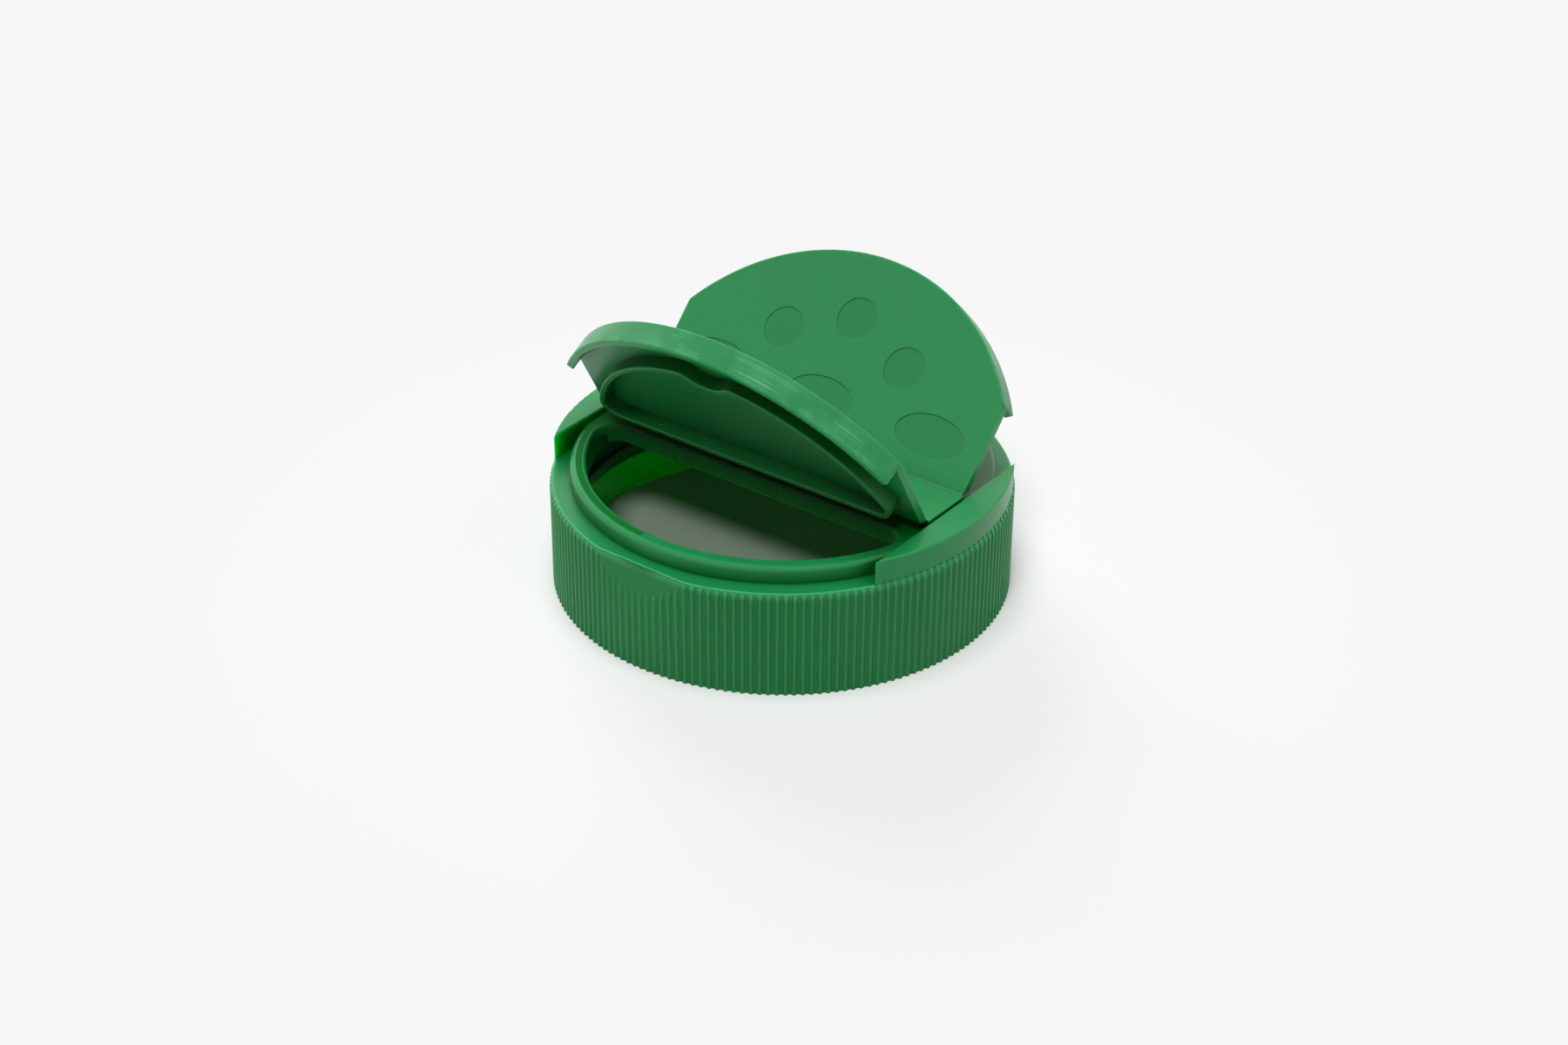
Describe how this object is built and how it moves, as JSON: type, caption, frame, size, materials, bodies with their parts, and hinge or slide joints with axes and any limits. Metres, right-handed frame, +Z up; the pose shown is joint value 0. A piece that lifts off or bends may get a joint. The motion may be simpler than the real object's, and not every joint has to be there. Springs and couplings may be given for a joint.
{
  "type": "shaker cap",
  "caption": "Ribbed screw-on shaker cap with a pour flap over a wide D-shaped opening and a sift flap with pegs over round and oval holes.",
  "frame": {"origin": "centre of the open bottom rim, on the plane that the cap stands on", "axes": "+Z up through the top, +X along both hinges, -Y towards the pour flap and +Y towards the sift flap"},
  "size_m": [0.0664, 0.0664, 0.0452],
  "materials": {
    "green_polypropylene": "satin"
  },
  "bodies": {
    "cap": {"cap_body": "green_polypropylene", "pour_hinge_web": "green_polypropylene", "sift_hinge_web": "green_polypropylene"},
    "pour_lid": {"pour_flap": "green_polypropylene"},
    "sift_lid": {"sift_flap": "green_polypropylene"}
  },
  "joints": [
    {"name": "pour_hinge", "type": "hinge", "parent": "cap", "child": "pour_lid", "pos_m": [0, -0.00445, 0.0199], "axis": [-1, 0, 0], "range_deg": [-61.3, 33.7], "deforming": ["pour_hinge_web"]},
    {"name": "sift_hinge", "type": "hinge", "parent": "cap", "child": "sift_lid", "pos_m": [0, 0.00445, 0.0199], "axis": [1, 0, 0], "range_deg": [-45.5, 49.5], "deforming": ["sift_hinge_web"]}
  ]
}
